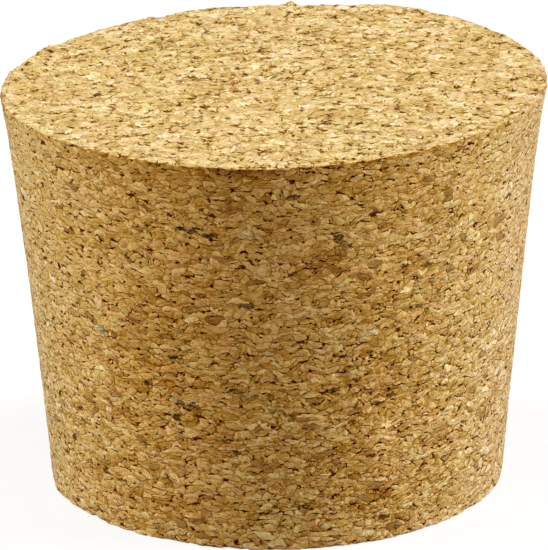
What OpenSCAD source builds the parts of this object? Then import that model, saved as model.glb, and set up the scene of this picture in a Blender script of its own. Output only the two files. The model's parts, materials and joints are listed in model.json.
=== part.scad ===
// Tapered stopper of pressed cork granules, one solid piece.
// It stands on its narrow end. The origin is the centre of that end, and +Z runs up the stopper.

/* [Body] */
// Diameter across the wide end
wide_d = 51; // [46:0.5:80]
// Diameter across the narrow end
narrow_d = 43; // [20:0.5:48]
// Height on the axis
height = 38.5; // [20:0.5:80]

/* [Ends] */
// How far out of square the wide end is cut, in degrees, higher at +X
wide_cut_slant = 1.25; // [0:0.05:4]
// Rounding of the rim at the wide end
wide_rim_r = 0.4; // [0.1:0.05:2]
// Rounding of the rim at the narrow end
narrow_rim_r = 0.5; // [0.1:0.05:2]

/* [Colour] */
// Colour of the cork
cork_colour = "#C99B5F";

/* [Hidden] */

$fn = 180;

wide_r = wide_d / 2;
narrow_r = narrow_d / 2;

// Growth of the radius for each millimetre up the wall, and the wall's angle from the axis
taper = (wide_r - narrow_r) / height;
wall_angle = atan(taper);

// Height of the blank that the slanted cut is made in: above the cut's highest point
blank_h = height + wide_d * tan(wide_cut_slant) + wide_rim_r + 1;

// Radius of the wall at a height
function wall_r(z) = narrow_r + taper * z;

// Distance from the axis to the centre of the narrow rim's rounding, which touches end and wall
narrow_rim_x = wall_r(narrow_rim_r) - narrow_rim_r / cos(wall_angle);

// A slanted cut through the cone is an ellipse, and this is how far its middle lies towards +X
cut_shift = taper * wide_r * tan(wide_cut_slant);

// Half outline of the round blank: flat narrow end, rounded rim, straight tapered wall
module blank_outline() {
    polygon([
        [0, 0],
        [narrow_rim_x, 0],
        [narrow_rim_x + narrow_rim_r * cos(wall_angle), narrow_rim_r * (1 - sin(wall_angle))],
        [wall_r(blank_h), blank_h],
        [0, blank_h]
    ]);
    translate([narrow_rim_x, narrow_rim_r])
        circle(r = narrow_rim_r);
}

// Half outline of all that lies under the wide end's cut, with the rim's rounding at its corner
module under_cut_outline() {
    rim_x = wide_r - wide_rim_r;
    polygon([
        [0, 0],
        [0, -wide_rim_r - blank_h],
        [wide_r + blank_h, -wide_rim_r - blank_h],
        [wide_r, -wide_rim_r],
        [rim_x, 0]
    ]);
    translate([rim_x, -wide_rim_r])
        circle(r = wide_rim_r);
}

module stopper() {
    color(cork_colour)
        intersection() {
            rotate_extrude()
                blank_outline();
            translate([0, 0, height])
                rotate([0, -wide_cut_slant, 0])
                    translate([cut_shift, 0, 0])
                        rotate_extrude()
                            under_cut_outline();
        }
}

stopper();
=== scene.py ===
# %% [markdown]
# # A stopper of pressed cork granules
#
# The object is one block of cork granules, bonded under pressure, cut to a disc with two flat ends
# and ground to a taper. It stands on its narrow end, and nothing on it moves.
#
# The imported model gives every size. This lesson makes the skin that is seen: one closed mesh with the
# relief of the granules, and one material with their colours.

import json
import math

import bpy
import numpy as np
from mathutils import Matrix, Vector


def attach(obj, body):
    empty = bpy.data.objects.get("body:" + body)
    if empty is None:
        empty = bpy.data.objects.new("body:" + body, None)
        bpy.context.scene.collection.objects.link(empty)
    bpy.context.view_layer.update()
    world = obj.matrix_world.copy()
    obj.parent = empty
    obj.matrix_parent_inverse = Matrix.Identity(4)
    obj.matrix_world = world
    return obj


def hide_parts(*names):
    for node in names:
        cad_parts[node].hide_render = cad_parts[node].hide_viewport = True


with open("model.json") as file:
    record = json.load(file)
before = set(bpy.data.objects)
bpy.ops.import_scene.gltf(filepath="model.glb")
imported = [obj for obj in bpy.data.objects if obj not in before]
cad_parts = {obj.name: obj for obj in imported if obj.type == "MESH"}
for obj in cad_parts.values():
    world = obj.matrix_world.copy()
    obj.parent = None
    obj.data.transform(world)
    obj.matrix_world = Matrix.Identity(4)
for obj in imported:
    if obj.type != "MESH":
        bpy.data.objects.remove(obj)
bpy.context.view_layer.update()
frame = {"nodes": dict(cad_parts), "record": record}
MM = 0.001

# %% [markdown]
# ## Read the taper from the solid
#
# A cone's wall is a straight line in the plane of radius and height. All of the wall's triangles lean
# by the same angle, so they are easy to tell from the rounded rims. A straight line fitted through
# their corners gives the radius at the floor and how fast it grows.

# %% Measure the wall and the slanted cut
STEEP = 0.5  # faces whose normals rise or fall by less than this belong to the wall's side
SAME_LEAN = 1e-3  # two faces with leans this close are on one cone

solid = frame["nodes"]["stopper"].data


def read_floats(items, what, width):
    """Copies one property of every item of a mesh into an array with that many columns."""
    values = np.empty(len(items) * width, np.float32)
    items.foreach_get(what, values)
    return values.reshape(-1, width).astype(float)


corner = read_floats(solid.vertices, "co", 3)
face_lean = read_floats(solid.polygons, "normal", 3)[:, 2]
triangle = np.empty(len(solid.loops), np.int32)
solid.loops.foreach_get("vertex_index", triangle)
triangle = triangle.reshape(-1, 3)

sideways = np.abs(face_lean) < STEEP
of_cone = sideways & (np.abs(face_lean - np.median(face_lean[sideways])) < SAME_LEAN)
wall = corner[triangle[of_cone].ravel()]
TAPER, NARROW_R = np.polyfit(wall[:, 2], np.hypot(wall[:, 0], wall[:, 1]), 1)

cut = next(m for m in frame["record"]["mounts"] if m["name"] == "wide_end")
HEIGHT = cut["pos_m"][2]
SLANT = -cut["axis"][0] / cut["axis"][2]
WIDE_R = NARROW_R + TAPER * HEIGHT
print(f"narrow end {2 * NARROW_R / MM:.2f} mm, wide end {2 * WIDE_R / MM:.2f} mm across")
print(f"height {HEIGHT / MM:.2f} mm, cut {math.degrees(math.atan(SLANT)):.2f} degrees out of square")

# %% [markdown]
# ## The wide end and its rim
#
# A knife's cut is not perfectly flat: the rim dips and swells by a few tenths of a millimetre, and a
# crumb stands up on it. One bell curve for each swell gives a rim that is easy to change in one place.
# Towards the middle of the end the waves die away.

# %% The cut's height at any x and y
# Where the rim swells: turn in degrees, how far it spreads in degrees, and how much it rises.
RIM_WAVES = [
    (52, 4, -0.15 * MM),
    (57, 17, 0.36 * MM),
    (73, 4, -0.12 * MM),
    (86, 1.2, 0.40 * MM),
    (87, 10, -0.22 * MM),
    (88, 3, 0.10 * MM),
    (115, 2.5, -0.22 * MM),
    (127, 3.5, -0.15 * MM),
    (139, 11, -0.18 * MM),
    (150, 4, 0.20 * MM),
    (168, 7, 0.20 * MM),
    (222, 20, 0.26 * MM),
    (268, 14, -0.12 * MM),
]
WAVE_FADE = 5  # the power of the radius by which the waves fade from the rim inwards


def bell(turn, middle, spread):
    """A bell curve round the turn, in degrees. Its gap is taken the short way round."""
    gap = (np.degrees(turn) - middle + 180) % 360 - 180
    return np.exp(-(gap / spread) ** 2)


def rim_wave(turn):
    """How far the wide rim lies above its flat cut: a sum of bell curves round the rim."""
    return sum(rise * bell(turn, middle, spread) for middle, spread, rise in RIM_WAVES)


def cut_height(x, y):
    """Height of the wide end: a slanted plane plus the rim's wave times a power of the radius."""
    return HEIGHT + SLANT * x + rim_wave(np.arctan2(y, x)) * (np.hypot(x, y) / WIDE_R) ** WAVE_FADE


every_degree = np.radians(np.arange(360))
print(f"rim waves from {rim_wave(every_degree).min() / MM:.2f} to {rim_wave(every_degree).max() / MM:.2f} mm")

# %% [markdown]
# ## The wall
#
# The wall is a function of two parameters: the turn round the axis, and the climb from the narrow rim
# to the wide one. A grinding belt gives under the stopper, so the wall is slightly hollow, and more so
# where it was held longer. Pressed cork keeps crisp rims, so only a fraction of a millimetre is
# rounded, along a curve that starts and ends in line with its neighbours.

# %% The half outline at every turn
GRID = 132  # squares along one side of an end's grid
COLUMNS = 4 * GRID  # the border of that grid is one ring of the wall
WALL_ROWS = 114  # rows on the straight wall
RIM_ROWS = 4  # rows on each rounded rim
NARROW_RIM = 0.3 * MM
WIDE_RIM = 0.2 * MM
WALL_HOLLOW = 0.15 * MM  # how much the wall is hollow in the middle, all round
LEFT_HOLLOW = 0.07 * MM  # how much more on the -X side
HIGH_HOLLOW = 0.14 * MM  # how much more on the +X side, four fifths of the way up
HIGH_PEAK = 0.8 ** 4 * 0.2

# Where a rim bulges or is worn back: turn in degrees, height in mm, how far it spreads in degrees and
# in mm, and how far out it goes.
BULGES = [
    (163, 37.5, 8, 2.5, -0.10 * MM),
    (185, 37.5, 10, 2.0, 0.13 * MM),
    (355, 38.5, 10, 2.5, 0.07 * MM),
    (198, 0.0, 7, 1.3, 0.20 * MM),
    (217, 0.3, 5, 1.2, -0.12 * MM),
    (243, 0.2, 4, 0.8, -0.30 * MM),
    (319, 0.5, 8, 1.5, -0.18 * MM),
    (347, 1.5, 8, 3.0, 0.08 * MM),
]


def bent(start, corner_point, end, share):
    """A quadratic curve: it leaves start towards the corner and arrives at end from the corner."""
    return (1 - share) ** 2 * start + 2 * share * (1 - share) * corner_point + share ** 2 * end


def bulge(turn, z):
    """How far out the wall is pushed: a sum of mounds, each a bell round the turn times one in height."""
    return sum(out * bell(turn, middle, spread) * np.exp(-((z / MM - height) / reach) ** 2)
               for middle, height, spread, reach, out in BULGES)


def wall_surface(turn):
    """The wall, ring by ring: rounded narrow rim, straight and slightly hollow wall, rounded wide rim.

    At each turn the half outline is a curve, a line and a curve in radius and height. The top corner
    is where the wall's line meets the cut's height, which two rounds of substitution find. With c as
    the climb from 0 to 1, the hollows are 4 c (1 - c) and c^4 (1 - c), which peaks at four fifths."""
    top_z = np.full_like(turn, HEIGHT)
    for _ in range(2):
        top_r = NARROW_R + TAPER * top_z
        top_z = cut_height(top_r * np.cos(turn), top_r * np.sin(turn))
    low = np.stack([np.full_like(turn, NARROW_R), np.zeros_like(turn)])
    top = np.stack([NARROW_R + TAPER * top_z, top_z])
    up = (top - low) / np.hypot(*(top - low))
    inward_top = np.stack([-np.ones_like(turn), -SLANT * np.cos(turn)])
    inward_low = np.stack([-np.ones_like(turn), np.zeros_like(turn)])

    wall_start, wall_end = low + up * NARROW_RIM, top - up * WIDE_RIM
    left, right = np.clip(-np.cos(turn), 0, 1), np.clip(np.cos(turn), 0, 1)
    share = np.linspace(0, 1, RIM_ROWS + 1)
    rings = [bent(low + inward_low * NARROW_RIM, low, wall_start, s) for s in share[:-1]]
    for c in np.linspace(0, 1, WALL_ROWS + 1):
        ring = wall_start * (1 - c) + wall_end * c
        ring[0] -= (WALL_HOLLOW + LEFT_HOLLOW * left) * 4 * c * (1 - c)
        ring[0] -= HIGH_HOLLOW * right * c ** 4 * (1 - c) / HIGH_PEAK
        rings.append(ring)
    rings += [bent(wall_end, top, top + inward_top * WIDE_RIM, s) for s in share[1:]]
    radius, z = np.array(rings).transpose(1, 0, 2)
    radius = radius + bulge(turn, z)
    return np.stack([radius * np.cos(turn), radius * np.sin(turn), z], axis=-1)


turn = np.radians(-45 + 360 * np.arange(COLUMNS) / COLUMNS)
wall_rings = wall_surface(turn)
print("wall:", wall_rings.shape[0], "rings of", COLUMNS, "points")

# %% [markdown]
# ## The two ends
#
# A fan of triangles would crowd them in the middle of an end, and relief would show as a star. A
# square grid that is squeezed into a disc keeps its squares nearly the same size, and its border is
# one ring of the wall, so the skin is closed with nothing to merge.

# %% Squeeze a square grid into a disc
def disc_grid():
    """A square grid squeezed into a unit disc: each square ring of the grid becomes a circle.

    A point's larger coordinate is its radius, and the ratio of the other to it is its angle."""
    a, b = np.meshgrid(*[np.linspace(-1, 1, GRID + 1)] * 2, indexing="ij")
    wide = np.abs(a) > np.abs(b)
    radius = np.where(wide, a, b)
    safe = np.where(radius == 0, 1, radius)
    angle = np.where(wide, math.pi / 4 * b / safe, math.pi / 2 - math.pi / 4 * a / safe)
    return radius * np.cos(angle), radius * np.sin(angle)


def grid_border():
    """Row and column of the border points, once round, anticlockwise from the -45 degree corner."""
    run = np.arange(GRID)
    far = np.full(GRID, GRID)
    none = np.zeros(GRID, int)
    rows = np.concatenate([far, GRID - run, none, run])
    columns = np.concatenate([run, far, GRID - run, none])
    return rows, columns


disc_x, disc_y = disc_grid()
border = grid_border()
off_ring = np.abs(np.hypot(disc_x[border], disc_y[border]) - 1).max()
print(f"disc: {disc_x.size} points, border within {off_ring:.1e} of the unit circle")


# %% Join the wall and the two ends into one closed mesh
def end_surface(rim, height_of):
    """An end: the disc stretched to its rim's radius at each angle, at the height that x and y give."""
    angle = np.arctan2(disc_y, disc_x) % (2 * math.pi)
    rim_angle = turn % (2 * math.pi)
    order = np.argsort(rim_angle)
    rim_reach = np.hypot(rim[:, 0], rim[:, 1])[order]
    reach = np.interp(angle, rim_angle[order], rim_reach, period=2 * math.pi)
    x, y = disc_x * reach, disc_y * reach
    points = np.stack([x, y, height_of(x, y)], axis=-1)
    points[border] = rim
    return points.reshape(-1, 3)


def grid_faces(index):
    """Four corners of every square between the rows and columns of an index grid."""
    corners = [index[:-1, :-1], index[1:, :-1], index[1:, 1:], index[:-1, 1:]]
    return np.stack(corners, axis=-1).reshape(-1, 4)


def new_mesh(name, points, faces):
    """A smooth mesh from an array of points and an array of four-cornered faces."""
    mesh = bpy.data.meshes.new(name)
    mesh.vertices.add(len(points))
    mesh.vertices.foreach_set("co", points.astype(np.float32).ravel())
    mesh.loops.add(faces.size)
    mesh.loops.foreach_set("vertex_index", faces.astype(np.int32).ravel())
    mesh.polygons.add(len(faces))
    mesh.polygons.foreach_set("loop_start", np.arange(0, faces.size, 4, dtype=np.int32))
    mesh.polygons.foreach_set("use_smooth", np.ones(len(faces), bool))
    mesh.update(calc_edges=True)
    return mesh


def placed(name, data):
    """A new object for a mesh, lamp or camera, put into the scene."""
    made = bpy.data.objects.new(name, data)
    bpy.context.scene.collection.objects.link(made)
    return made


narrow_end = end_surface(wall_rings[0], lambda x, y: np.zeros_like(x))
wide_end = end_surface(wall_rings[-1], cut_height)
between = wall_rings[1:-1].reshape(-1, 3)
skin_points = np.concatenate([narrow_end, wide_end, between])

end_index = np.arange((GRID + 1) ** 2).reshape(GRID + 1, GRID + 1)
first_between = len(narrow_end) + len(wide_end)
ring_index = first_between + np.arange(len(between)).reshape(-1, COLUMNS)
ring_index = np.vstack([end_index[border], ring_index, end_index[border] + len(narrow_end)])
closed_rings = np.hstack([ring_index, ring_index[:, :1]])
skin_faces = np.concatenate([
    grid_faces(end_index)[:, ::-1],
    grid_faces(end_index) + len(narrow_end),
    grid_faces(closed_rings)[:, ::-1],
])
skin = new_mesh("cork_stopper", skin_points, skin_faces)
stopper = placed("cork_stopper", skin)
print("skin:", len(skin_points), "points,", 2 * len(skin_faces), "triangles")

# %% [markdown]
# ## A flat map of the skin
#
# A colour map on a flat sheet needs every face laid out on it once. The wall unrolls with little
# stretch, and three strips of it, one above the other, fill a square sheet better than one long band.
# The two ends lie beside them, the lower one turned over, so nothing in the map is mirrored.

# %% Lay the skin out flat
STRIPS = 3  # how many pieces the wall is cut into
GUTTER = 1.0 * MM  # empty space between the parts of the map
STRIP_WIDTH = 2 * math.pi * WIDE_R / STRIPS


def wall_layout(rows):
    """Each corner's column becomes the way round and its row the height, strip above strip."""
    corner_row = np.repeat(np.arange(rows + 1)[:, None], COLUMNS + 1, axis=1)
    corner_column = np.repeat(np.arange(COLUMNS + 1)[None], rows + 1, axis=0)
    row = grid_faces(corner_row)[:, ::-1]
    column = grid_faces(corner_column)[:, ::-1]
    per_strip = COLUMNS // STRIPS
    strip = column.min(axis=1, keepdims=True) // per_strip
    across = (column / per_strip - strip) * STRIP_WIDTH
    up = strip * (HEIGHT + GUTTER) + row / rows * HEIGHT
    return np.stack([across, up], axis=-1).reshape(-1, 2)


def end_layout(corners, radius, middle_y, side):
    """The unit disc at its real size beside the strips; side -1 turns it over."""
    x = STRIP_WIDTH + GUTTER + WIDE_R + side * radius * disc_x.ravel()[corners]
    y = middle_y + radius * disc_y.ravel()[corners]
    return np.stack([x, y], axis=-1).reshape(-1, 2)


layout = np.concatenate([
    end_layout(grid_faces(end_index)[:, ::-1], NARROW_R, 2 * WIDE_R + NARROW_R + GUTTER, -1),
    end_layout(grid_faces(end_index), WIDE_R, WIDE_R, 1),
    wall_layout(len(wall_rings) - 1),
])
sheet = max(layout.max(), STRIPS * (HEIGHT + GUTTER))
bake_map = skin.uv_layers.new(name="OFBake")
bake_map.uv.foreach_set("vector", (layout / sheet).astype(np.float32).ravel())
print(f"sheet {sheet / MM:.0f} mm wide, used up to {np.round(layout.max(axis=0) / sheet, 2).tolist()}")

# %% [markdown]
# ## Nodes written as formulas
#
# Geometry nodes and material nodes share the same arithmetic, noise and Voronoi nodes. A few small
# functions, each adding one node to whichever tree it is given, let one recipe be written once and
# built in both.

# %% One function for each kind of step
def add_node(tree, kind, inputs=None, **settings):
    """Adds a node, sets its properties, and feeds its inputs with values or other nodes' outputs."""
    made = tree.nodes.new(kind)
    for name, value in settings.items():
        setattr(made, name, value)
    for name, value in (inputs or {}).items():
        if isinstance(value, bpy.types.NodeSocket):
            tree.links.new(value, made.inputs[name])
        else:
            made.inputs[name].default_value = value
    return made


def calc(tree, operation, a, b=0.0, c=0.0):
    """One step of arithmetic on numbers."""
    return add_node(tree, "ShaderNodeMath", {0: a, 1: b, 2: c}, operation=operation).outputs[0]


def times(tree, a, b, plus=None):
    """a times b, plus a third value if there is one."""
    if plus is None:
        return calc(tree, "MULTIPLY", a, b)
    return calc(tree, "MULTIPLY_ADD", a, b, plus)


def inverse(tree, value):
    """One less a value."""
    return calc(tree, "SUBTRACT", 1.0, value)


def vector_calc(tree, operation, a, b=(0.0, 0.0, 0.0), result="Vector"):
    """One step of arithmetic on vectors."""
    return add_node(tree, "ShaderNodeVectorMath", {0: a, 1: b}, operation=operation).outputs[result]


def scaled(tree, vector, factor):
    """A vector made longer or shorter."""
    return add_node(tree, "ShaderNodeVectorMath", {0: vector, "Scale": factor}, operation="SCALE").outputs[0]


def shifted(tree, place, by, how_much=None):
    """A place moved by a vector, which may first be multiplied axis by axis."""
    if how_much is not None:
        by = vector_calc(tree, "MULTIPLY", by, how_much)
    return vector_calc(tree, "ADD", place, by)


def stretched(tree, place, factors):
    """A place multiplied axis by axis."""
    return vector_calc(tree, "MULTIPLY", place, factors)


def parts_of(tree, vector):
    """The three numbers of a vector."""
    return add_node(tree, "ShaderNodeSeparateXYZ", {0: vector}).outputs


def remap(tree, value, low, high, to_low=0.0, to_high=1.0, smooth=False):
    """Carries low..high onto to_low..to_high, and holds it at the ends."""
    ends = {"Value": value, "From Min": low, "From Max": high, "To Min": to_low, "To Max": to_high}
    kind = "SMOOTHSTEP" if smooth else "LINEAR"
    return add_node(tree, "ShaderNodeMapRange", ends, interpolation_type=kind).outputs["Result"]


def noise(tree, place, scale, detail=2.0, roughness=0.5, result="Fac"):
    """Smooth random values, from 0 to 1, that change over about 1 / scale millimetres."""
    settings = {"Vector": place, "Scale": scale, "Detail": detail, "Roughness": roughness}
    return add_node(tree, "ShaderNodeTexNoise", settings).outputs[result]


HALF = (0.5, 0.5, 0.5)  # the middle of a random vector's range


def random_shift(tree, place, scale, detail, roughness=0.5):
    """A smooth random vector, each of its numbers from -0.5 to 0.5."""
    return vector_calc(tree, "SUBTRACT", noise(tree, place, scale, detail, roughness, "Color"), HALF)


def weighted(tree, *pairs):
    """A sum of values, each less one half and times its weight."""
    total = 0.0
    for value, weight in pairs:
        total = times(tree, calc(tree, "SUBTRACT", value, 0.5), weight, total)
    return total


print("helpers ready: each adds one or two nodes and returns an output socket")

# %% [markdown]
# ## One size of chip
#
# Granules are flat, angular chips that were pressed together along the axis. Voronoi cells are such a
# packing: every point belongs to its nearest seed. The space is squashed along Z before the cells are
# made, so the chips come out flat.

# %% A packing of flat chips
# How steep the way from a chip's middle to a place is, from 0, level, to 1, upright.
BESIDE, ABOVE = 0.3, 0.8  # up to the first a border is beside, past the second above
UPRIGHT_NONE, UPRIGHT_FULL = 0.7, 0.2  # where the upright mask is 0 and 1


def chips(tree, place, size, flatness):
    """Flat angular chips about size millimetres wide, at a place in millimetres.

    tone, hue, kind: a chip's three random numbers. tilt: a plane through its middle with a random
    slope. lean: that slope. crown: the way from its middle. edge: the distance to its border in
    millimetres, which is divided by the flatness where the border lies above or below the middle.
    upright: 1 where the border stands beside the middle, and 0 where it lies above or below it."""
    spot = stretched(tree, place, (1 / size, 1 / size, flatness / size))
    chip = add_node(tree, "ShaderNodeTexVoronoi", {"Vector": spot, "Scale": 1.0}, feature="F1")
    between = add_node(tree, "ShaderNodeTexVoronoi", {"Vector": spot, "Scale": 1.0},
                       feature="DISTANCE_TO_EDGE")
    random = vector_calc(tree, "ADD", chip.outputs["Color"])
    slope = vector_calc(tree, "SUBTRACT", random, HALF)
    off_middle = vector_calc(tree, "SUBTRACT", spot, chip.outputs["Position"])
    above = calc(tree, "ABSOLUTE", parts_of(tree, vector_calc(tree, "NORMALIZE", off_middle))[2])
    cell_in_mm = remap(tree, above, BESIDE, ABOVE, size, size / flatness)
    tone, hue, kind = parts_of(tree, random)
    return {
        "tone": tone, "hue": hue, "kind": kind, "random": random, "lean": slope,
        "tilt": vector_calc(tree, "DOT_PRODUCT", slope, off_middle, result="Value"),
        "crown": stretched(tree, off_middle, (1.0, 1.0, flatness)),
        "edge": times(tree, between.outputs["Distance"], cell_in_mm),
        "upright": remap(tree, above, UPRIGHT_NONE, UPRIGHT_FULL),
    }


# %% [markdown]
# ## Chips inside chips
#
# Seen close, a granule is not one flat facet: it is torn into flakes, and the flakes into specks. So
# four sizes are nested. The two larger share one bent space, because pressing bends the granules
# round each other. The two smaller start anew inside each granule and follow its slant.

# %% Four sizes, one inside the other
LARGE, MIDDLE, SMALL, TINY = 2.3, 1.2, 0.62, 0.34  # chip widths in mm
FLATNESS = {LARGE: 2.2, MIDDLE: 2.2, SMALL: 2.6, TINY: 1.8}
BEND_SCALE, RAG_SCALE = 0.45, 2.2  # turns of the noise in a millimetre
BEND = (2.4, 2.4, 1.8)  # mm, how far the pressing bends the rows
RAG = (0.7, 0.7, 0.4)  # mm, how far the larger chips' borders are torn
FINE_RAG = (0.2, 0.2, 0.12)  # mm, the same for the flakes
SLANT_SHARE = 1.6  # how strongly flakes follow their granule's slant
OWN_SPACE = 20.0  # mm between the flakes of one granule and another
APART = {MIDDLE: (31.0, 17.0, 5.0), TINY: (17.0, 3.0, 53.0)}  # mm, so that no two packings coincide


def nested_chips(tree, place):
    """Large and middle chips in a bent space; small and tiny flakes in each middle chip's own space."""
    bend = random_shift(tree, place, BEND_SCALE, 1.0)
    rag = random_shift(tree, place, RAG_SCALE, 2.0, 0.6)
    ragged = shifted(tree, shifted(tree, place, bend, BEND), rag, RAG)
    large = chips(tree, ragged, LARGE, FLATNESS[LARGE])
    middle = chips(tree, shifted(tree, ragged, APART[MIDDLE]), MIDDLE, FLATNESS[MIDDLE])

    torn = shifted(tree, place, rag, FINE_RAG)
    slant = add_node(tree, "ShaderNodeCombineXYZ", {2: times(tree, middle["tilt"], SLANT_SHARE)})
    own_space = scaled(tree, middle["random"], OWN_SPACE)
    inside = shifted(tree, shifted(tree, torn, slant.outputs[0]), own_space)
    small = chips(tree, inside, SMALL, FLATNESS[SMALL])
    tiny = chips(tree, shifted(tree, inside, APART[TINY]), TINY, FLATNESS[TINY])
    return large, middle, small, tiny, rag


print(f"chips of {LARGE}, {MIDDLE}, {SMALL} and {TINY} mm")

# %% [markdown]
# ## Light and dark chips
#
# Cork's tone varies from granule to granule and again inside each one, and the line between two
# granules is darker: partly dark glue, partly painted shade in the crease between two crowned chips.
# Some areas of the block are busier than others, so a slow noise turns the lines up and down.

# %% The tone of the chips
TONE_SHARES = (0.10, 0.30, 0.22, 0.20, 0.38)  # large, middle, small and tiny chips, and grain
GLUE_REACH, GLUE_AND_CREASE_TONE = 0.08, -0.42  # mm and tone of the line round a middle chip: dark glue, partly painted shade
SEAM_REACH, SEAM_AND_CREASE_TONE = 0.05, -0.10  # the same round a small one
LINES_MEAN = 0.06  # keeps the mean tone where the lines are strong
PALE_CHIP = (0.05, 0.045, 0, 0.12)  # one middle chip in twenty is this much paler
PALE_FLAKE = (0.08, 0.06, 0, 0.15)  # and one small flake in fourteen


def tone_of(tree, large, middle, small, tiny, grain, lively, rough):
    """Weighted tones of all sizes, plus dark glue lines that are partly painted shade in the creases, plus
    the few chips that are much paler.
    """
    tones = [chip["tone"] for chip in (large, middle, small, tiny)] + [grain]
    shade = weighted(tree, *zip(tones, TONE_SHARES))
    # dark glue lines round the chips, partly painted shade in the creases between crowned chips
    line = times(tree, remap(tree, middle["edge"], GLUE_REACH, 0.0), GLUE_AND_CREASE_TONE)
    line = times(tree, remap(tree, small["edge"], SEAM_REACH, 0.0), SEAM_AND_CREASE_TONE, line)
    shade = times(tree, calc(tree, "ADD", line, LINES_MEAN), lively, shade)
    shade = times(tree, shade, rough)
    shade = calc(tree, "ADD", shade, remap(tree, middle["kind"], *PALE_CHIP))
    return calc(tree, "ADD", shade, remap(tree, small["kind"], *PALE_FLAKE))


print("tone shares add up to", round(sum(TONE_SHARES), 2))


# %% [markdown]
# ## The way the flakes lean
#
# Every flake has its own slope, so each one catches the light differently. A slope is only a shift of
# the surface's normal, the same over a whole flake, which keeps the facets flat and their edges sharp.
# Each chip is also a little crowned: its normal turns outwards from its middle.

# %% The lean of the chips
SMALL_LEAN, TINY_LEAN = 0.6, 0.9  # the strongest slopes
MIDDLE_CROWN, SMALL_CROWN = 0.45, 0.35  # how much the chips are crowned


def lean_of(tree, middle, small, tiny):
    """Slopes of small and tiny flakes by random amounts, plus crowns of middle and small chips."""
    amount = times(tree, small["hue"], SMALL_LEAN)
    lean = scaled(tree, small["lean"], amount)
    amount = times(tree, calc(tree, "POWER", tiny["hue"], 2.0), TINY_LEAN)
    lean = shifted(tree, lean, scaled(tree, tiny["lean"], amount))
    lean = shifted(tree, lean, scaled(tree, middle["crown"], MIDDLE_CROWN))
    return shifted(tree, lean, scaled(tree, small["crown"], SMALL_CROWN))


# %% [markdown]
# ## Crevices
#
# Where the glue missed, a border gapes. A crevice's half width comes from a slow noise and is below
# zero in most places, so only parts of the borders open. The ground wall shows thin ones along every
# side of a chip. On the cut ends the knife tore wider ones, but only along borders that stand upright:
# a border that lies level would show there as a blot.

# %% Where the borders gape
# For each surface: how the noise is squashed, its roughness, and which of its values become which
# half widths in mm.
WALL_GAPE = ((1.1, 1.1, 2.4), 0.6, (0.48, 0.76, -0.03, 0.14))
END_GAPE = ((1.1, 1.1, 1.6), 0.5, (0.44, 0.68, -0.04, 0.185))
FINE_SHARE = 0.6  # a small flake's crevice is this share as wide
FINE_LESS = -0.035  # mm, and on the wall this much narrower
UPRIGHT_LESS = -0.03  # mm, upright crevices on the wall are this much narrower
UPRIGHT_ONLY, FINE_UPRIGHT_ONLY = 0.2, 0.1  # mm, more than any half width on an end
FINE_END_LESS = 0.11  # mm
# Of near, in mm: the open part, the whole torn border with it, and the painted highlight of the lit lip along
# it.
OPEN, TORN_OPEN, LIP = (-0.025, 0.035), (-0.12, 0.06), (-0.12, -0.04)
LIP_GAPE = (0.0, 0.02)  # mm of half width over which the painted lip highlight appears


def gape_of(tree, place, squash, roughness, widths):
    """Half width of the crevices in millimetres, from a slow noise: below zero where none open."""
    return remap(tree, noise(tree, stretched(tree, place, squash), 1.0, 1.0, roughness), *widths)


def crevices_of(tree, place, large, middle, small, on_end):
    """near is the half width less the distance to the border: above 0 inside a crevice.

    On an end, a large value is taken off every distance and off every half width, but off the distance
    only where the border is upright, so that level borders are always too far away to open."""
    gape = gape_of(tree, place, *WALL_GAPE)
    near_middle = calc(tree, "SUBTRACT", gape, middle["edge"])
    near_middle = times(tree, middle["upright"], UPRIGHT_LESS, near_middle)
    fine_gape = times(tree, gape, FINE_SHARE, FINE_LESS)
    near_wall = calc(tree, "MAXIMUM", near_middle, calc(tree, "SUBTRACT", fine_gape, small["edge"]))

    torn_gape = gape_of(tree, place, *END_GAPE)
    large_border = times(tree, large["upright"], -UPRIGHT_ONLY, large["edge"])
    middle_border = times(tree, middle["upright"], -UPRIGHT_ONLY, middle["edge"])
    near_wide = calc(tree, "SUBTRACT", torn_gape, calc(tree, "MINIMUM", large_border, middle_border))
    fine_border = times(tree, small["upright"], -FINE_UPRIGHT_ONLY, small["edge"])
    near_fine = calc(tree, "SUBTRACT", times(tree, torn_gape, FINE_SHARE), fine_border)
    near_end = calc(tree, "MAXIMUM", calc(tree, "SUBTRACT", near_wide, UPRIGHT_ONLY),
                    calc(tree, "SUBTRACT", near_fine, FINE_END_LESS))

    near = times(tree, on_end, calc(tree, "SUBTRACT", near_end, near_wall), near_wall)
    # painted highlight: a paler band along the lip of an open crevice, as a lit edge
    lip = times(tree, remap(tree, near, *LIP), remap(tree, gape, *LIP_GAPE))
    return {"crevice": remap(tree, near, *OPEN), "wide_crevice": remap(tree, near, *TORN_OPEN), "lip": lip}


print(f"crevices up to {2 * WALL_GAPE[2][3]:.2f} mm wide, on the ends {2 * END_GAPE[2][3]:.2f} mm")


# %% [markdown]
# ## The whole recipe
#
# The parts come together here. The wall is a little smoother towards the wide end, where the belt
# pressed harder.

# %% All that is known of the cork at one place
GRAIN = (5.0, 5.0, 8.0)  # turns of the grain's noise in a millimetre
BUSY = (0.9, 0.9, 1.6)  # the same for the areas that are busier
LIVELY = (0.36, 0.64, 0.35, 1.2)  # that noise from, to; contrast of the chips from, to
ROUGH_WALL = (10.0, 32.0, 1.10, 0.90)  # height in mm from, to; contrast from, to
END_TONE, END_LEAN = 0.80, 1.30  # contrast of the cut ends
PIT_KIND, BARK_KIND = (0.985, 0.99), (0.965, 0.97)  # which of a chip's kinds are pits and bark
LARGE_LEVEL, MIDDLE_LEVEL = 0.4, 0.6  # shares in how far a chip stands up


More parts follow.
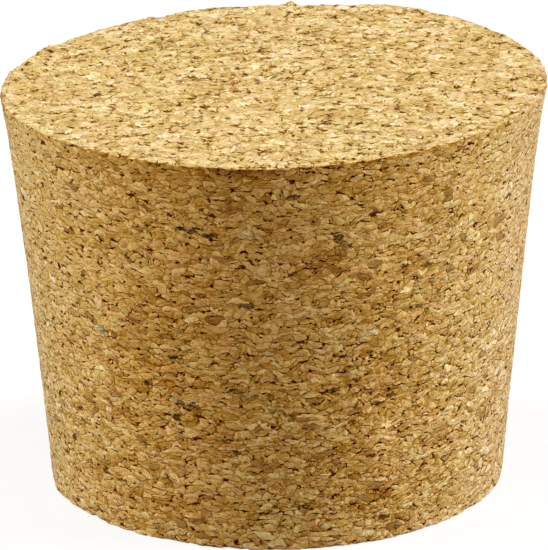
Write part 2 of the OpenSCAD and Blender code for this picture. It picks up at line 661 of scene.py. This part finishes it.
def cork_pattern(tree, place, on_end):
    """Everything that is known of the cork at a place in millimetres; on_end is 1 on a cut end."""
    large, middle, small, tiny, rag = nested_chips(tree, place)
    grain = noise(tree, stretched(tree, place, GRAIN), 1.0, 1.0, 0.5)
    lively = remap(tree, noise(tree, stretched(tree, place, BUSY), 1.0, 1.0, 0.5), *LIVELY)
    out = crevices_of(tree, place, large, middle, small, on_end)
    rough_wall = remap(tree, parts_of(tree, place)[2], *ROUGH_WALL)
    out["shade"] = tone_of(tree, large, middle, small, tiny, grain, lively,
                           remap(tree, on_end, 0, 1, rough_wall, END_TONE))
    clear = times(tree, inverse(tree, out["crevice"]), lively)
    clear = times(tree, clear, remap(tree, on_end, 0, 1, rough_wall, END_LEAN))
    out["lean"] = scaled(tree, lean_of(tree, middle, small, tiny), clear)
    out["tilt"] = calc(tree, "ADD", middle["tilt"], large["tilt"])
    out["level"] = weighted(tree, (large["tone"], LARGE_LEVEL), (middle["tone"], MIDDLE_LEVEL))
    out["pit"] = times(tree, remap(tree, tiny["kind"], *PIT_KIND), inverse(tree, on_end))
    out["bark"] = remap(tree, middle["kind"], *BARK_KIND)
    out.update(hue=large["hue"], middle_hue=middle["hue"], flake=small["tone"], grain=grain, rag=rag)
    return out


# %% [markdown]
# ## Raise the granules on the mesh
#
# Relief that is only painted goes flat at the outline. So a small geometry tree runs the recipe at
# every point of the skin and keeps the answers as attributes, and numpy reads them and moves the
# points along their normals. The material reads the same recipe, so relief and colour agree chip by
# chip.

# %% Ask the recipe for its values at every point
def probe_tree(names):
    """A geometry tree that stores values of the cork pattern on the points of a mesh."""
    tree = bpy.data.node_groups.new("granule_probe", "GeometryNodeTree")
    tree.interface.new_socket("Geometry", in_out="INPUT", socket_type="NodeSocketGeometry")
    tree.interface.new_socket("Geometry", in_out="OUTPUT", socket_type="NodeSocketGeometry")
    shape = tree.nodes.new("NodeGroupInput").outputs[0]
    position = tree.nodes.new("GeometryNodeInputPosition").outputs[0]
    place = scaled(tree, position, 1 / MM)
    on_end = add_node(tree, "GeometryNodeInputNamedAttribute", {"Name": "cut_end"}, data_type="FLOAT")
    pattern = cork_pattern(tree, place, on_end.outputs["Attribute"])
    for name in names:
        keep = add_node(tree, "GeometryNodeStoreNamedAttribute",
                        {"Geometry": shape, "Name": name, "Value": pattern[name]},
                        data_type="FLOAT", domain="POINT")
        shape = keep.outputs[0]
    add_node(tree, "NodeGroupOutput", {0: shape})
    return tree


def probe(obj, names):
    """Runs the probe tree on an object and returns one array for each name."""
    tree = probe_tree(names)
    step = obj.modifiers.new("probe", "NODES")
    step.node_group = tree
    done = obj.evaluated_get(bpy.context.evaluated_depsgraph_get()).data
    found = {name: read_floats(done.attributes[name].data, "value", 1)[:, 0] for name in names}
    obj.modifiers.remove(step)
    bpy.data.node_groups.remove(tree)
    return found


def keep_on_points(name, values):
    """Writes an array onto the skin's points, where both node trees can read it by name."""
    kept = skin.attributes.new(name, "FLOAT", "POINT")
    kept.data.foreach_set("value", values.astype(np.float32))


on_end = np.zeros(len(skin_points))
on_end[:first_between] = 1.0
keep_on_points("cut_end", on_end)
felt = probe(stopper, ["level", "tilt", "wide_crevice", "pit"])
for name, values in felt.items():
    print(f"{name}: {values.min():.2f} to {values.max():.2f}, mean {values.mean():.2f}")

# %% [markdown]
# ## Ragged rims
#
# Along both rims some chips have broken out and others stand proud, because half of their neighbours
# are gone. The relief is stronger there: it is multiplied by a bell curve of the distance to the rim.

# %% Measure each point's distance to the rims, and move the points
CHIP_RELIEF = {"tilt": 0.05, "level": 0.03}  # mm of rise for each unit of the recipe's values
CREVICE_DEPTH, END_DEEPER = 0.10, 0.02  # mm, and how much deeper on the ends
PIT_DEPTH = 0.22  # mm
TILT_SHARE = 0.4  # part of a chip's tilt in how it stands on a rim
RIM_REACH = 0.5 * MM  # how far from the rim the chips are loose
WIDE_RAG, NARROW_RAG = 0.18, 0.20  # mm of rise for each unit of level

below_rim = np.full(len(skin_points), 2 * HEIGHT)
below_rim[len(narrow_end):first_between] = 0.0
below_rim[first_between:] = (wall_rings[-1, :, 2] - wall_rings[1:-1, :, 2]).ravel()
keep_on_points("below_rim", below_rim / MM)

edge_r = NARROW_R + TAPER * skin_points[:, 2]
from_edge = np.where(on_end == 1, edge_r - np.hypot(skin_points[:, 0], skin_points[:, 1]), 0)
off_wide = np.maximum(from_edge, below_rim)
off_wide[:len(narrow_end)] = HEIGHT
off_narrow = from_edge + skin_points[:, 2]

loose = felt["level"] + TILT_SHARE * felt["tilt"]
rise = sum(felt[name] * amount for name, amount in CHIP_RELIEF.items())
rise -= (CREVICE_DEPTH + END_DEEPER * on_end) * felt["wide_crevice"] + PIT_DEPTH * felt["pit"]
rise += WIDE_RAG * np.exp(-(off_wide / RIM_REACH) ** 2) * loose
rise += NARROW_RAG * np.exp(-(off_narrow / RIM_REACH) ** 2) * loose

normal = read_floats(skin.vertices, "normal", 3)
skin_points = skin_points + normal * (rise * MM)[:, None]
skin_points[:, 2] = np.maximum(skin_points[:, 2], 0)
skin.vertices.foreach_set("co", skin_points.astype(np.float32).ravel())
skin.update()
print(f"relief from {rise.min():.2f} to {rise.max():.2f} mm")

# %% [markdown]
# ## Where this stopper has its own marks
#
# Crumbs of bark, red-brown or olive chips and a few very pale ones make one stopper different from the
# next. Each is a spot with a place and a size, bent by a noise into a torn shape. To place them, the
# wall is unrolled: the turn times a radius goes across and the height goes up. The ends keep their x
# and y, but are lifted a long way, so that a spot of one surface never lands on another.

# %% Start the material and unroll the wall
ROLL_R = 24.0  # mm, the radius at which the wall is unrolled
END_LIFT = 100.0  # mm, keeps the ends' spots apart from each other and from the wall's
SPOT_RAG = (1.6, 0.9, 0.0)  # mm, how far the spots are torn out of shape



def empty_tree(owner):
    """The node tree of a new material or world, with nothing in it."""
    owner.use_nodes = True
    owner.node_tree.nodes.clear()
    return owner.node_tree


cork = bpy.data.materials.new("pressed_cork")
tree = empty_tree(cork)
place = scaled(tree, add_node(tree, "ShaderNodeTexCoord").outputs["Object"], 1 / MM)
on_cut = add_node(tree, "ShaderNodeAttribute", attribute_name="cut_end").outputs["Fac"]
on_side = inverse(tree, on_cut)
pattern = cork_pattern(tree, place, on_cut)

x_of, y_of, z_of = parts_of(tree, place)
front_turn = calc(tree, "ARCTAN2", x_of, times(tree, y_of, -1.0))
across = times(tree, front_turn, ROLL_R)
unrolled = add_node(tree, "ShaderNodeCombineXYZ", {0: across, 1: z_of}).outputs[0]
lifted = shifted(tree, place, (0.0, 0.0, END_LIFT))
wall_or_end = add_node(tree, "ShaderNodeMix", {0: on_cut, 4: unrolled, 5: lifted}, data_type="VECTOR")
flat_place = wall_or_end.outputs[1]
torn_place = shifted(tree, flat_place, pattern["rag"], SPOT_RAG)


def on_unrolled(degrees, height):
    """Where a turn and a height land on the unrolled wall; 270 degrees is the front."""
    return (math.radians(degrees - 270) * ROLL_R, height, 0.0)


def on_wide_end(x, y):
    """Where an x and y of the wide end land."""
    return (x, y, END_LIFT + HEIGHT / MM)


print("front of the wall at half height lands on", on_unrolled(270, HEIGHT / MM / 2))

# %% The spots: on the wall turn in degrees, height and half width in mm; on the wide end x, y, half width
FLAT_BARK = [
    (250.0, 32.0, 0.65), (252.6, 31.85, 0.65), (255.9, 31.6, 0.75), (263.4, 24.8, 0.8), (274.1, 35.6, 0.6),
    (269.1, 30.7, 0.4), (269.0, 33.35, 0.3), (294.8, 14.2, 0.6), (297.2, 14.8, 0.6), (276.4, 4.4, 0.6),
    (250.4, 14.35, 0.4), (251.8, 14.25, 0.4), (246.9, 14.5, 0.6), (303.5, 23.3, 0.45), (298.9, 27.5, 0.5),
    (304.9, 27.2, 0.6), (288.6, 16.9, 0.55), (283.1, 16.1, 0.6), (307.6, 16.2, 0.35), (312.8, 14.3, 0.35),
    (305.9, 9.8, 0.22), (292.8, 9.0, 0.4), (296.8, 2.5, 0.6), (246.0, 19.0, 0.5), (248.0, 18.95, 0.5),
    (239.1, 15.9, 0.65), (253.6, 16.3, 0.4), (230.5, 7.5, 0.3), (232.4, 3.6, 0.5), (227.6, 24.6, 0.4),
]
ROUND_BARK = [
    (283.3, 31.4, 0.42), (286.2, 30.5, 0.25), (284.2, 13.1, 0.3), (269.4, 4.6, 0.25), (246.2, 12.9, 0.5),
    (260.8, 9.9, 0.3), (211.5, 7.6, 0.55), (223.7, 5.6, 0.5), (312.2, 31.4, 0.22), (312.9, 11.9, 0.25),
    (307.5, 11.1, 0.2), (283.1, 9.6, 0.3), (222.8, 25.1, 0.2), (221.3, 24.4, 0.22), (236.4, 28.4, 0.3),
]
RUSSET = [
    (261.2, 34.3, 1.1), (283.3, 29.8, 1.0), (278.6, 28.6, 1.1), (260.0, 38.0, 1.2), (265.0, 38.0, 1.2),
    (270.0, 38.0, 1.0), (304.2, 28.1, 0.8), (311.3, 30.5, 0.6), (285.5, 17.6, 0.7), (301.9, 8.4, 0.65),
    (309.5, 9.4, 0.5), (249.0, 2.6, 0.6), (252.0, 2.6, 0.6), (238.8, 23.0, 0.55), (236.0, 21.7, 0.5),
    (312.0, 15.3, 0.45),
]
OLIVE = [(260.4, 16.1, 0.9), (263.4, 15.7, 0.9), (269.8, 14.3, 0.75)]
PALE = [
    (245.2, 14.8, 0.65), (264.4, 31.8, 1.0), (266.3, 28.3, 0.8), (226.9, 20.2, 0.8), (313.3, 30.3, 0.3),
    (303.8, 26.6, 0.5), (299.8, 25.1, 0.6), (291.6, 18.9, 0.5), (312.7, 14.8, 0.35), (231.0, 13.7, 0.6),
    (229.4, 5.1, 0.5), (330.7, 5.6, 0.35), (297.0, 11.9, 0.8), (203.1, 9.9, 0.7),
]
AMBER = [(289.5, 19.5, 0.6), (286.3, 6.0, 0.6), (298.0, 4.6, 0.8), (259.4, 21.0, 0.35)]
END_BARK = [(-16.5, -2.2, 0.7), (-20.8, 7.3, 0.5), (-3.3, -2.5, 0.42), (-21.1, 8.9, 0.35), (-14.4, -9.4, 0.4)]
END_PALE = [(-20.7, 10.2, 0.6)]
END_ORANGE = [(-3.8, -2.2, 0.5)]
FLAT, ROUND, DEEP = 2.8, 1.3, 0.6  # how many times wider than high a spot is
OUTSIDE, INSIDE, FAR = 1.06, 0.94, 9.0  # in half widths: where a spot starts, is full, and far from it


def spots(tree, on_wall=(), on_wide=(), flatness=2.2):
    """A mask of spots: 1 inside the nearest one and 0 outside.

    A spot is an ellipse: the distance to its middle, with heights multiplied by the flatness, divided
    by its half width, is 1 at its border."""
    squash = (1.0, flatness, 1.0)
    squashed = stretched(tree, torn_place, squash)
    middles = [(on_unrolled(*spot[:2]), spot[2]) for spot in on_wall]
    middles += [(on_wide_end(*spot[:2]), spot[2]) for spot in on_wide]
    nearest = FAR
    for middle, half_width in middles:
        target = tuple(m * s for m, s in zip(middle, squash))
        gap = vector_calc(tree, "DISTANCE", squashed, target, result="Value")
        nearest = calc(tree, "MINIMUM", nearest, times(tree, gap, 1 / half_width))
    return remap(tree, nearest, OUTSIDE, INSIDE)


bark_spot = calc(tree, "MAXIMUM", spots(tree, FLAT_BARK, flatness=FLAT),
                 spots(tree, ROUND_BARK, END_BARK, flatness=ROUND))
russet_spot = spots(tree, RUSSET)
olive_spot = spots(tree, OLIVE, flatness=FLAT)
pale_spot = spots(tree, PALE, END_PALE)
amber_spot = spots(tree, AMBER)
orange_spot = spots(tree, (), END_ORANGE, flatness=DEEP)
print(len(FLAT_BARK) + len(ROUND_BARK) + len(END_BARK), "crumbs of bark,", len(tree.nodes), "nodes so far")

# %% [markdown]
# ## Slow drifts of tone, and painted light and shade
#
# Over a centimetre or so the block turns a little darker or paler, as handfuls of granules from
# different sacks lie side by side; the patches near the narrow end, close to the floor, are paler partly
# as painted light from the floor below. Each patch is a soft ellipse on the unrolled wall. Just under
# the wide rim the front of the wall carries painted shade: a broken dark line as of a shadow under the
# rim's edge, and a softer darkening below it.

# %% Soft patches, and the painted shadow line under the wide rim
# Turn in degrees, height, half width and half height in mm, how much darker or paler.
DRIFTS = [
    (252, 36.5, 9.0, 3.5, -0.10), (240, 18.0, 7.0, 4.5, -0.11), (299, 16.0, 9.0, 4.5, -0.07),
    (303, 27.5, 5.0, 3.0, -0.07), (268, 7.5, 5.0, 3.5, 0.10), (262, 2.0, 14.0, 4.0, 0.09),
    (277, 25.0, 3.0, 3.0, 0.08), (262, 32.0, 5.0, 4.0, -0.03), (250, 23.5, 10.0, 3.5, -0.06),
]


PATCH_SOFT = (1.2, 0.2)  # where a patch starts and is full, in half widths
PATCH_DEPTH = 5.0  # mm, keeps the wall's patches off the ends


def soft_patch(tree, degrees, height, half_width, half_height, amount):
    """A mound of the given amount in an ellipse: its place is moved and squeezed to a unit ball."""
    moved = add_node(tree, "ShaderNodeMapping",
                     {"Vector": flat_place, "Location": on_unrolled(degrees, height),
                      "Scale": (half_width, half_height, PATCH_DEPTH)}, vector_type="TEXTURE")
    gap = vector_calc(tree, "LENGTH", moved.outputs[0], result="Value")
    return remap(tree, gap, *PATCH_SOFT, 0.0, amount, smooth=True)


BROKEN = (0.7, 0.42, 0.56, 0.2, 1.0)  # turns in a millimetre, noise from, to; strength from, to
RIM_SHADOW_LINE = (0.5, 0.15, -0.3)  # painted shadow line: mm below the rim where it starts and is full, and its tone
SHADE_BELOW = (2.5, 0.3, -0.06)  # the same for a softer painted shade below it
FRONT = (0.65, 1.0)  # radians from the front, between which the painted shade fades

# tone at random, with painted light in the paler patches near the narrow end, as from the floor
drift = 0.0
for patch in DRIFTS:
    drift = calc(tree, "ADD", drift, soft_patch(tree, *patch))
below = add_node(tree, "ShaderNodeAttribute", attribute_name="below_rim").outputs["Fac"]
broken = remap(tree, noise(tree, place, BROKEN[0]), *BROKEN[1:])
# painted shade: a broken dark line as of a shadow just under the rim's edge, and a softer darkening below it,
# strongest at the front
rim_shadow_line = times(tree, remap(tree, below, *RIM_SHADOW_LINE[:2]), times(tree, broken, RIM_SHADOW_LINE[2]))
soft = remap(tree, below, *SHADE_BELOW[:2], 0.0, SHADE_BELOW[2])
away = calc(tree, "ABSOLUTE", front_turn)
strongest_in_front = times(tree, on_side, remap(tree, away, *FRONT, 1.0, 0.3))
painted_rim_shade = times(tree, calc(tree, "ADD", rim_shadow_line, soft), strongest_in_front)
print(len(DRIFTS), "drifts of tone")

# %% [markdown]
# ## From tone to colour
#
# Cork does not simply get darker: a pale torn chip is a soft cream, a usual one is tan, and deep in a
# crevice, in painted shade, it is a dark red-brown. So the recipe's tone runs along a ramp of colours,
# and everything that darkens or lightens is added to the tone before the ramp: the painted shade in
# crevices and pits, the painted highlight on their lips, the drifts with their painted light, and the
# painted shade under the wide rim. At the front of the wall the chips differ more in tone and their
# flakes lean more. On the flanks the large chips are more even.

# %% The ramp of cork colours
# Tone, then red, green and blue as seen on a screen, from 0 to 255.
STEPS = [
    (-1.00, 76, 17, 0),
    (-0.75, 115, 56, 0),
    (-0.50, 153, 96, 6),
    (-0.25, 191, 135, 50),
    (0.00, 227, 174, 94),
    (0.25, 247, 206, 132),
    (0.45, 252, 226, 163),
]
LOW_TONE, HIGH_TONE = STEPS[0][0], STEPS[-1][0]


def paint(*seen):
    """A colour as it is seen on a screen, from 0 to 255, turned into linear light."""
    seen = np.array(seen) / 255
    linear = np.where(seen <= 0.04045, seen / 12.92, ((seen + 0.055) / 1.055) ** 2.4)
    return (*linear.tolist(), 1.0)


VIVID = (0.7, 0.2, 0.0, 0.12)  # radians from the front, from, to; contrast added, from, to
FLANK = (0.6, 1.1)  # radians from the front, between which the flank begins
EVEN = -0.2  # share of the larger chips' tone taken off there
WALL_CREVICE_SHADE, END_CREVICE_SHADE = -0.88, -0.82  # tone of a crevice: painted shade in the gap, over the darker cork in it
LIP_HIGHLIGHT_TONE, PALE_TONE, WALL_TONE = 0.12, 0.25, -0.065  # tone of a crevice's painted lip highlight, a pale spot, the wall

vivid = times(tree, remap(tree, away, *VIVID), on_side, 1.0)
even = times(tree, remap(tree, away, *FLANK, 0.0, EVEN), on_side)
# painted shade: crevices and pits are darkened where shade falls into them, over the darker cork inside
dark = calc(tree, "MAXIMUM", pattern["crevice"], pattern["pit"])
shade = times(tree, dark, remap(tree, on_cut, 0, 1, WALL_CREVICE_SHADE, END_CREVICE_SHADE), pattern["shade"])
shade = times(tree, shade, vivid)
shade = times(tree, pattern["level"], even, shade)
# painted highlight along the lips of open crevices
shade = times(tree, pattern["lip"], LIP_HIGHLIGHT_TONE, shade)
shade = calc(tree, "ADD", calc(tree, "ADD", shade, drift), painted_rim_shade)
shade = times(tree, pale_spot, PALE_TONE, shade)
shade = times(tree, on_side, WALL_TONE, shade)

ramp = add_node(tree, "ShaderNodeValToRGB", {"Fac": remap(tree, shade, LOW_TONE, HIGH_TONE)})
stops = ramp.color_ramp.elements
stops.remove(stops[1])
for tone, *seen in STEPS:
    stop = stops[0] if tone == LOW_TONE else stops.new((tone - LOW_TONE) / (HIGH_TONE - LOW_TONE))
    stop.color = paint(*seen)
print("ramp of", len(stops), "colours")

# %% [markdown]
# ## Tints
#
# Chips, bark and marks differ in hue as well. Each tint is a multiplication, as a stain is: it lowers
# red, green and blue by its own amounts and leaves the relief of light and dark underneath. Bark and
# russet chips are stained unevenly, flake by flake.

# %% Stain the chips and the marks
# Which of a chip's numbers decides, where the stain starts and is full, and the stain.
HUES = [
    ("hue", 0.6, 1.0, (1.0, 0.975, 1.01)),
    ("hue", 0.4, 0.0, (0.98, 1.0, 0.93)),
    ("middle_hue", 0.55, 1.0, (1.01, 0.96, 1.01)),
    ("middle_hue", 0.45, 0.0, (0.972, 1.005, 0.92)),
]
CALM = -0.6  # how much weaker they are on the flanks
END_BARK_CHIP = 0.4  # strength of the bark chips' stain on the ends
BARK_FLAKES = (0.45, 0.95, 1.0, 0.72)  # a flake's tone from, to; strength of the stain from, to
RUSSET_FLAKES = (0.3, 0.95, 1.0, 0.6)
BARK_CHIP_STAIN, BARK_STAIN = (0.62, 0.52, 0.42), (0.19, 0.15, 0.09)
RUSSET_STAIN, OLIVE_STAIN = (0.66, 0.53, 0.48), (0.60, 0.64, 0.62)
AMBER_STAIN, ORANGE_STAIN = (0.98, 0.84, 0.66), (0.74, 0.42, 0.20)


def stained(colour, *stains):
    """A colour multiplied by one stain after another, each where its mask is 1 and not where it is 0."""
    for mask, tint in stains:
        made = add_node(tree, "ShaderNodeMix", {0: mask, 6: colour, 7: (*tint, 1.0)},
                        data_type="RGBA", blend_type="MULTIPLY")
        colour = made.outputs[2]
    return colour


mixed = times(tree, on_side, remap(tree, away, *FLANK, 0.0, CALM), 1.0)
bark_chip = times(tree, pattern["bark"], remap(tree, on_cut, 0, 1, 1.0, END_BARK_CHIP))
flaky_bark = times(tree, bark_spot, remap(tree, pattern["flake"], *BARK_FLAKES))
flaky_russet = times(tree, russet_spot, remap(tree, pattern["flake"], *RUSSET_FLAKES))
colour = ramp.outputs["Color"]
for name, starts, full, stain in HUES:
    colour = stained(colour, (remap(tree, pattern[name], starts, full, 0.0, mixed), stain))
colour = stained(colour, (bark_chip, BARK_CHIP_STAIN), (flaky_bark, BARK_STAIN),
                 (flaky_russet, RUSSET_STAIN), (olive_spot, OLIVE_STAIN),
                 (amber_spot, AMBER_STAIN), (orange_spot, ORANGE_STAIN))
print("tints done,", len(tree.nodes), "nodes")

# %% [markdown]
# ## Paler ends and flanks: partly painted light
#
# The cut ends are paler and less yellow than the ground wall: partly a fresher cut, partly painted light,
# as the lit top seen at a grazing angle looks. The crevices in them keep an olive tone. The flanks and
# the back of the wall carry painted light: they are cooler and paler, as the flanks lit by the side
# lamps look, while the front keeps the warmer, darker colour. How far a point faces away from the front
# is the dot product of its outward direction with one fixed direction, and a slow noise keeps the
# change from looking like a line.

# %% Tint the ends and the flanks
BEHIND = (0.10, 0.995, 0.0)  # the horizontal direction that faces away from the front, which gets no painted flank light
WANDER, WANDER_SCALE = 0.4, 0.15  # how far the change strays, and turns of its noise in a millimetre
FRESH_AND_LIT_STAIN = (1.05, 1.30, 2.15)  # paler ends, partly painted light; above 1 a stain bleaches
FRESH_AND_LIT_UNTIL = 0.7  # how dark a crevice is where nothing of the paler end is left
END_DARK_STAIN, TORN_STAIN = (0.98, 1.14, 0.78), (1.0, 1.0, 0.5)
WALL_STAIN = (1.01, 1.02, 1.10)
# On the wall: facing from, to, and the stain, painted light on the flanks.
PAINTED_FLANK_LIGHT, PAINTED_FLANK_PALLOR = (-1.0, -0.5, (0.96, 1.17, 1.0)), (-0.95, -0.25, (1.0, 1.0, 2.0))

clean = inverse(tree, bark_spot)
# partly painted light: the ends are paler and less yellow, as the lit top seen at a grazing angle, and partly
# a fresher cut; crevices are left out
fresh_and_lit = times(tree, on_cut, remap(tree, dark, 0.0, FRESH_AND_LIT_UNTIL, 1.0, 0.0))
colour = stained(colour, (times(tree, fresh_and_lit, clean), FRESH_AND_LIT_STAIN),
                 (times(tree, on_cut, dark), END_DARK_STAIN),
                 (times(tree, on_cut, pattern["wide_crevice"]), TORN_STAIN), (on_side, WALL_STAIN))

outward = vector_calc(tree, "NORMALIZE", stretched(tree, place, (1.0, 1.0, 0.0)))
facing = vector_calc(tree, "DOT_PRODUCT", outward, BEHIND, result="Value")
facing = calc(tree, "ADD", facing, weighted(tree, (noise(tree, place, WANDER_SCALE, 1.0), WANDER)))
clean_side = times(tree, on_side, clean)
# painted light: the flanks and the back are cooler and paler, as flanks lit by the side lamps look
for starts, full, stain in (PAINTED_FLANK_LIGHT, PAINTED_FLANK_PALLOR):
    colour = stained(colour, (times(tree, remap(tree, facing, starts, full), clean_side), stain))
print("front without painted flank light faces", [-b for b in BEHIND[:2]])

# %% [markdown]
# ## Facets, grain and gloss
#
# The normal is the mesh's own, turned by each flake's lean, with a fine bump on top for the grain of
# cells. Torn cork is matt, and the ground tops of the chips are a little smoother, so the roughness
# follows the tone. A trace of sheen stands for the fine fuzz that catches light at the edges.

# %% The finish
LEAN_SHARE = 0.66  # how far the normals follow the flakes' lean
TURNED_X, TURNED_Z = 0.5, 0.3  # how far a pale spot is turned to +X and upwards
GRAIN_BUMP = 0.08  # mm
ROUGHNESS = (-0.6, 0.4, 0.95, 0.72)  # tone from, to; roughness from, to

facet = scaled(tree, pattern["lean"], times(tree, vivid, LEAN_SHARE))
facet = shifted(tree, add_node(tree, "ShaderNodeNewGeometry").outputs["Normal"], facet)
turned_up = {0: times(tree, pale_spot, TURNED_X), 2: times(tree, pale_spot, TURNED_Z)}
facet = shifted(tree, facet, add_node(tree, "ShaderNodeCombineXYZ", turned_up).outputs[0])
facet = vector_calc(tree, "NORMALIZE", facet)
bump = add_node(tree, "ShaderNodeBump", {
    "Strength": 1.0, "Distance": 1 * MM, "Height": times(tree, pattern["grain"], GRAIN_BUMP),
    "Normal": facet})
finish = add_node(tree, "ShaderNodeBsdfPrincipled", {
    "Base Color": colour, "Roughness": remap(tree, shade, *ROUGHNESS), "Normal": bump.outputs["Normal"],
    "Specular IOR Level": 0.08, "Specular Tint": (1.0, 0.8, 0.4, 1.0),
    "Sheen Weight": 0.12, "Sheen Roughness": 0.3, "Sheen Tint": (1.0, 1.0, 0.62, 1.0)})
add_node(tree, "ShaderNodeOutputMaterial", {"Surface": finish.outputs[0]})
skin.materials.append(cork)
print("pressed_cork:", len(tree.nodes), "nodes")

# %% Put the skin in the place of the solid
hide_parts("stopper")
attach(stopper, "root")
print("the skin stands for the solid and rides on root")

# %% [markdown]
# ## Floor and world
#
# The stopper stands on a plain pale floor under an even sky. To the camera both are nearly white, and
# the floor still shows the soft shadow. To all other rays the floor is an ordinary pale surface, so no
# extra light falls on the stopper from it.

# %% Two materials that look one way to the camera and light another way
FLOOR_HALF = 40.0  # m, far enough that its edge is never seen
FLOOR_LIT, FLOOR_SEEN = (0.45, 0.423, 0.36), (0.25, 0.25, 0.25)
FLOOR_GLOW = 0.78  # to the camera only
SKY_LIT, SKY_SEEN = (1.0, 0.94, 0.80), (1.0, 1.0, 1.0)
SKY_STRENGTH = 0.22  # to the camera it is 1


def camera_or_light(tree, to_light, to_camera):
    """One colour for the camera's own rays and another for all the rays that carry light."""
    ray = add_node(tree, "ShaderNodeLightPath").outputs["Is Camera Ray"]
    mix = add_node(tree, "ShaderNodeMix", {0: ray, 6: (*to_light, 1.0), 7: (*to_camera, 1.0)},
                   data_type="RGBA")
    return mix.outputs[2], ray


corner_sign = np.array([[-1, -1, 0], [1, -1, 0], [1, 1, 0], [-1, 1, 0]])
floor_mesh = new_mesh("floor", corner_sign * FLOOR_HALF, np.array([[0, 1, 2, 3]]))
floor = placed("floor", floor_mesh)

floor_paint = bpy.data.materials.new("floor_paint")
tree = empty_tree(floor_paint)
floor_colour, ray = camera_or_light(tree, FLOOR_LIT, FLOOR_SEEN)
matt = add_node(tree, "ShaderNodeBsdfDiffuse", {"Color": floor_colour})
glow = add_node(tree, "ShaderNodeEmission", {"Strength": times(tree, ray, FLOOR_GLOW)})
both = add_node(tree, "ShaderNodeAddShader", {0: matt.outputs[0], 1: glow.outputs[0]})
add_node(tree, "ShaderNodeOutputMaterial", {"Surface": both.outputs[0]})
floor_mesh.materials.append(floor_paint)

world = bpy.data.worlds.new("studio")
bpy.context.scene.world = world
tree = empty_tree(world)
sky_colour, ray = camera_or_light(tree, SKY_LIT, SKY_SEEN)
sky = add_node(tree, "ShaderNodeBackground",
               {"Color": sky_colour, "Strength": remap(tree, ray, 0, 1, SKY_STRENGTH, 1.0)})
add_node(tree, "ShaderNodeOutputWorld", {"Surface": sky.outputs[0]})
print("floor and sky ready")

# %% [markdown]
# ## Two side lamps and a weak one above
#
# Light that rakes along the wall from both sides brings out the relief and leaves the front darker
# than the flanks. The lamps are wide, so their shadows are soft. A sun lamp's strength times pi lights
# a white surface that faces it to exactly that strength.

# %% Lamps
LAMP_COLOUR = (0.98, 1.0, 1.03)


def soft_lamp(name, azimuth, elevation, strength, spread):
    """A wide soft light from one side. Azimuth 0 is the front, 90 is +X, 180 is behind."""
    lamp = bpy.data.lights.new(name, "SUN")
    lamp.energy = strength * math.pi
    lamp.angle = math.radians(spread)
    lamp.color = LAMP_COLOUR
    lamp_object = placed(name, lamp)
    a, e = math.radians(azimuth), math.radians(elevation)
    toward = Vector((math.sin(a) * math.cos(e), -math.cos(a) * math.cos(e), math.sin(e)))
    lamp_object.rotation_mode = "QUATERNION"
    lamp_object.rotation_quaternion = toward.to_track_quat("Z", "Y")
    print(f"{name}: strength {strength}, {elevation} degrees up")


soft_lamp("top_light", 0, 72, 0.20, 50)
soft_lamp("left_light", -93, 25, 0.80, 40)
soft_lamp("right_light", 93, 25, 1.00, 40)

# %% [markdown]
# ## Camera
#
# A long lens from half a metre keeps the sides of the stopper nearly straight, as a product picture
# does. The camera looks down a little, at a point near the stopper's middle.

# %% Camera
VIEW_ELEVATION = 19.46  # degrees
VIEW_DISTANCE = 544.2 * MM
VIEW_ROLL = 0.53  # degrees
LENS = 376.6  # mm
SENSOR = 36  # mm
AIM_OFF = (-0.13 * MM, 0.11 * MM)  # sideways and upwards from the stopper's middle

camera_data = bpy.data.cameras.new("camera")
camera_data.lens = LENS
camera_data.sensor_width = SENSOR
camera_data.clip_end = 5 * FLOOR_HALF
camera = placed("camera", camera_data)
elevation = math.radians(VIEW_ELEVATION)
target = Vector((AIM_OFF[0], 0, HEIGHT / 2 + AIM_OFF[1]))
back = Vector((0, -math.cos(elevation), math.sin(elevation)))
aim = back.to_track_quat("Z", "Y").to_matrix().to_4x4()
roll = Matrix.Rotation(-math.radians(VIEW_ROLL), 4, "Z")
camera.matrix_world = Matrix.Translation(target + back * VIEW_DISTANCE) @ aim @ roll
bpy.context.scene.camera = camera
bpy.context.scene.view_settings.view_transform = "Standard"
print(f"camera {VIEW_DISTANCE / MM:.0f} mm away, {VIEW_ELEVATION} degrees up")
